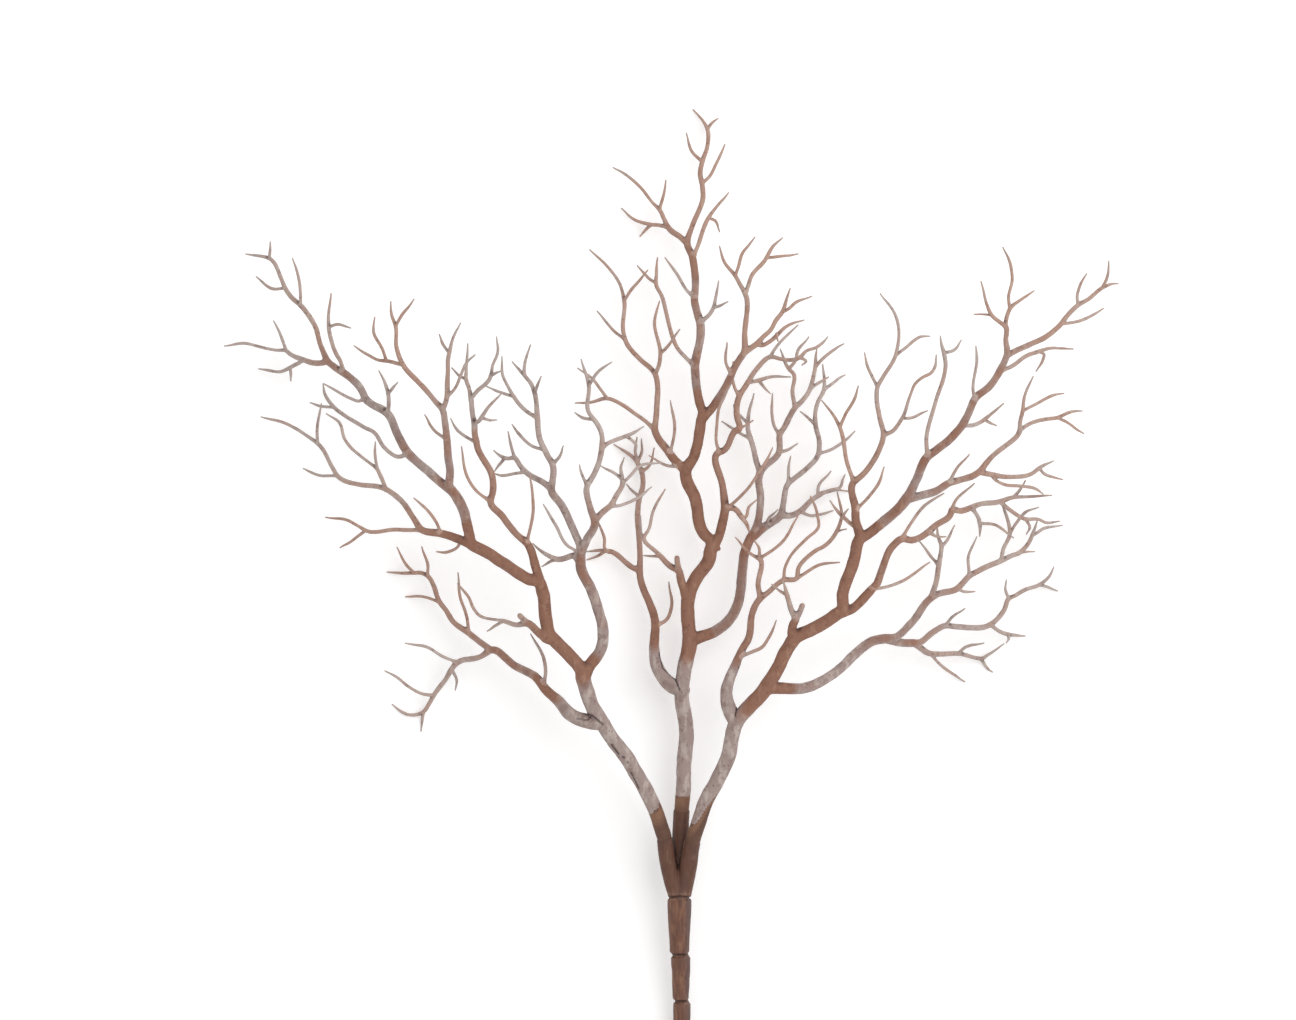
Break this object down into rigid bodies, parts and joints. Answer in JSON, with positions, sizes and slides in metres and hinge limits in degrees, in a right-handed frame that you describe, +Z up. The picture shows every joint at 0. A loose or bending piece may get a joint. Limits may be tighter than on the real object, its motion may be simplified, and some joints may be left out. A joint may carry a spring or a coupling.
{
  "type": "artificial coral spray",
  "caption": "Artificial branching coral spray: notched push-in stem and socketed crown carrying forked plastic stalks that end in fine twigs, lying flat.",
  "frame": {"origin": "under the middle of the spray's bounding box, on the surface it lies on", "axes": "+Y from the cut end of the stem to the tips, +X to the right across the fan, +Z up from the surface"},
  "size_m": [0.323, 0.3612, 0.0884],
  "materials": {
    "brown_plastic": "satin dark brown moulding",
    "grey_painted_plastic": "brown moulding with dry-brushed grey paint",
    "tan_painted_plastic": "brown moulding with thin grey-tan paint"
  },
  "bodies": {
    "root": {"stem": "brown_plastic", "crown": "brown_plastic", "left_stalk": "grey_painted_plastic", "left_stub": "tan_painted_plastic", "left_side": "tan_painted_plastic", "left_side_out": "tan_painted_plastic", "left_low": "tan_painted_plastic", "left_low_left": "tan_painted_plastic", "left_low_side": "tan_painted_plastic", "left_low_right": "tan_painted_plastic", "left_bough": "tan_painted_plastic", "left_bough_out": "tan_painted_plastic", "left_riser": "tan_painted_plastic", "left_riser_out": "tan_painted_plastic", "left_leader": "tan_painted_plastic", "left_leader_out": "tan_painted_plastic", "left_leader_arm": "tan_painted_plastic", "left_inner": "tan_painted_plastic", "left_inner_top": "tan_painted_plastic", "centre_stalk": "grey_painted_plastic", "centre_stub": "tan_painted_plastic", "centre_side": "tan_painted_plastic", "centre_side_top": "tan_painted_plastic", "centre_low": "tan_painted_plastic", "centre_low_riser": "tan_painted_plastic", "centre_low_crown": "tan_painted_plastic", "centre_low_arm": "tan_painted_plastic", "centre_low_arm_out": "tan_painted_plastic", "centre_bough": "tan_painted_plastic", "centre_leader": "tan_painted_plastic", "centre_leader_left": "tan_painted_plastic", "centre_leader_top": "tan_painted_plastic", "centre_leader_fan": "tan_painted_plastic", "centre_arm": "tan_painted_plastic", "centre_arm_right": "tan_painted_plastic", "centre_arm_top": "tan_painted_plastic", "centre_left": "tan_painted_plastic", "centre_right": "tan_painted_plastic", "centre_right_top": "tan_painted_plastic", "right_stalk": "grey_painted_plastic", "right_stub": "tan_painted_plastic", "right_side": "tan_painted_plastic", "right_side_top": "tan_painted_plastic", "right_low": "tan_painted_plastic", "right_low_riser": "tan_painted_plastic", "right_low_mid": "tan_painted_plastic", "right_low_out": "tan_painted_plastic", "right_low_tips": "tan_painted_plastic", "right_inner": "tan_painted_plastic", "right_inner_mid": "tan_painted_plastic", "right_inner_arm": "tan_painted_plastic", "right_main": "tan_painted_plastic", "right_main_out": "tan_painted_plastic", "right_main_top": "tan_painted_plastic", "right_main_leader": "tan_painted_plastic", "right_main_low": "tan_painted_plastic", "right_main_low_tips": "tan_painted_plastic", "right_outer": "tan_painted_plastic", "right_outer_out": "tan_painted_plastic"}
  },
  "joints": []
}
